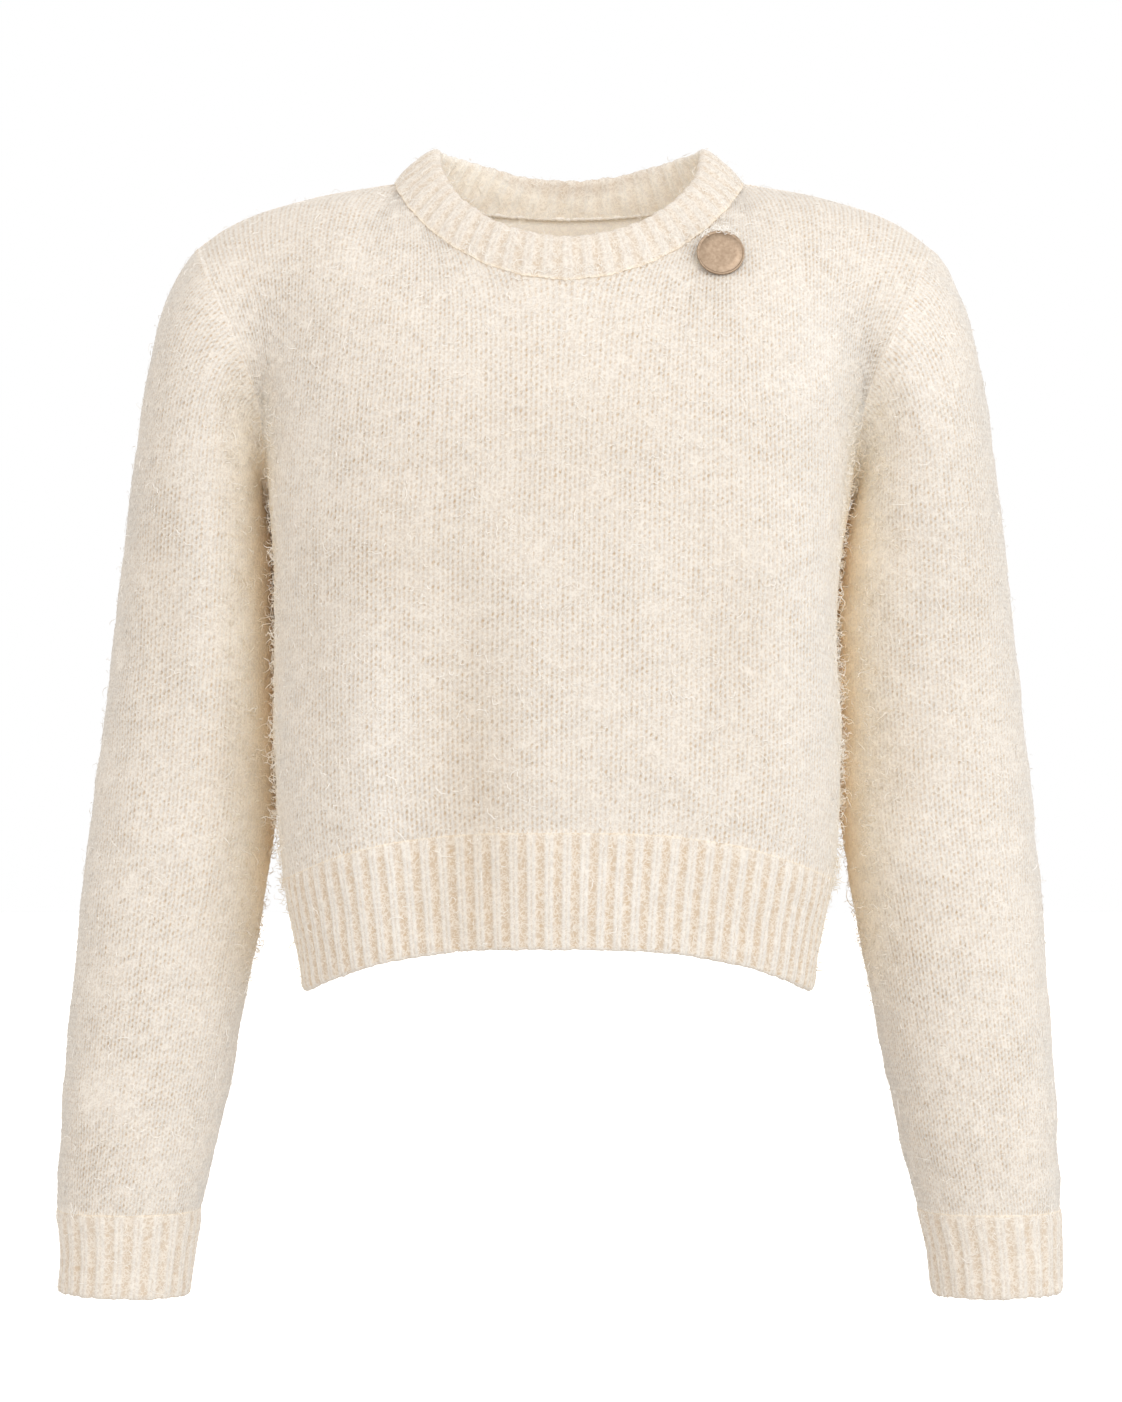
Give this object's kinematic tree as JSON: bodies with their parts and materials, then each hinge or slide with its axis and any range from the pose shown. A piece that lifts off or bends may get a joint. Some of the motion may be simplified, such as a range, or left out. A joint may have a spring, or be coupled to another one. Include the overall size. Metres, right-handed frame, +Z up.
{
  "type": "cropped knit sweater",
  "caption": "Cropped crew-neck sweater in brushed cream knit, filled out as worn, with long sleeves, ribbed collar, hem and cuffs, and a small round badge.",
  "frame": {"origin": "between the shoulders at the base of the neck, where the wearer's neck and shoulders carry the sweater", "axes": "+Z up, +X to the wearer's left, -Y to the front"},
  "size_m": [0.5751, 0.2301, 0.6526],
  "materials": {
    "brushed_knit": "brushed stockinette knit with a soft halo",
    "rib_knit": "brushed rib knit",
    "badge_metal": "satin rose gold"
  },
  "bodies": {
    "root": {"front": "brushed_knit", "back": "brushed_knit", "sleeve_left": "brushed_knit", "sleeve_right": "brushed_knit", "collar": "rib_knit", "hem_rib": "rib_knit", "cuff_left": "rib_knit", "cuff_right": "rib_knit", "badge": "badge_metal"}
  },
  "joints": []
}
